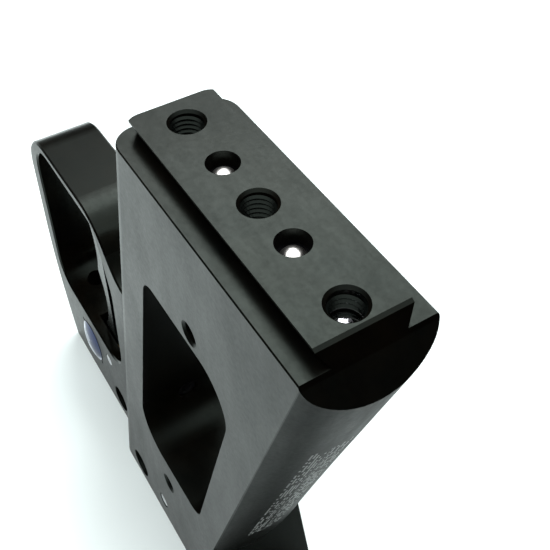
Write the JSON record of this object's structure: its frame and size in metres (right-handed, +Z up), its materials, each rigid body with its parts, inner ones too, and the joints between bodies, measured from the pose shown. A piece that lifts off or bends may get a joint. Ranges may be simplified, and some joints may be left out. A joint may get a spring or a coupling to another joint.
{
  "type": "marker trigger grip frame",
  "caption": "Bare aluminium trigger grip frame for an air-powered marker, with two-finger trigger, sear group and dovetail base plate, standing on its receiver rail.",
  "frame": {"origin": "centre of the bounding box footprint, on the flat receiver face of the rail", "axes": "+Z up, from the receiver rail to the grip's base plate; +X to the rear, from the trigger guard to the tang; the frame stands upside down, with the grip upward"},
  "size_m": [0.12, 0.019, 0.107],
  "materials": {
    "anodised_aluminium": "dull hard anodised, dark grey, machined all over",
    "trigger_aluminium": "dull hard anodised, dark grey",
    "polished_steel": "polished",
    "ground_steel": "ground",
    "black_steel": "black oxide",
    "spring_steel": "drawn wire",
    "bronze": "turned sintered bronze"
  },
  "bodies": {
    "frame": {"grip_frame": "anodised_aluminium", "trigger_pivot_pin": "ground_steel", "return_set_screw": "black_steel", "return_spring": "spring_steel", "overtravel_screw": "black_steel", "sear_pin": "ground_steel", "sear_stop_pin": "ground_steel", "sear_spring": "spring_steel", "plunger_bodies": "black_steel", "front_plunger_spring": "spring_steel", "rear_plunger_spring": "spring_steel", "base_set_screw": "polished_steel"},
    "trigger_body": {"trigger": "trigger_aluminium", "trigger_bushings": "bronze"},
    "cam": {"pretravel_cam": "polished_steel", "cam_screw": "black_steel"},
    "plunger": {"return_plunger": "ground_steel"},
    "sear_body": {"sear": "black_steel"},
    "front_ball": {"front_plunger_ball": "polished_steel"},
    "rear_ball": {"rear_plunger_ball": "polished_steel"}
  },
  "joints": [
    {"name": "trigger_hinge", "type": "hinge", "parent": "frame", "child": "trigger_body", "pos_m": [-0.03, 0, 0.0147], "axis": [0, 1, 0], "range_deg": [0, 5], "stiffness_Nm_per_rad": 0.02},
    {"name": "return_plunger_slide", "type": "slide", "parent": "frame", "child": "plunger", "axis": [1, 0, 0], "range_m": [0, 0.0016], "deforming": ["return_spring"]},
    {"name": "sear_hinge", "type": "hinge", "parent": "frame", "child": "sear_body", "pos_m": [-0.009, 0, 0.0046], "axis": [0, 1, 0], "range_deg": [-6.1, 0], "deforming": ["sear_spring"]},
    {"name": "cam_turn", "type": "hinge", "parent": "frame", "child": "cam", "pos_m": [-0.0403, 0, 0.0107], "axis": [0, 1, 0], "range_deg": [-60, 60]},
    {"name": "front_ball_press", "type": "slide", "parent": "frame", "child": "front_ball", "axis": [0, 0, -1], "range_m": [0, 0.0006], "stiffness_N_per_m": 500, "deforming": ["front_plunger_spring"]},
    {"name": "rear_ball_press", "type": "slide", "parent": "frame", "child": "rear_ball", "axis": [0, 0, -1], "range_m": [0, 0.0006], "stiffness_N_per_m": 500, "deforming": ["rear_plunger_spring"]}
  ],
  "couplings": [
    {"joint": "return_plunger_slide", "follows": "trigger_hinge", "m_per_rad": 0.0183},
    {"joint": "sear_hinge", "follows": "trigger_hinge", "ratio": -1.22}
  ]
}
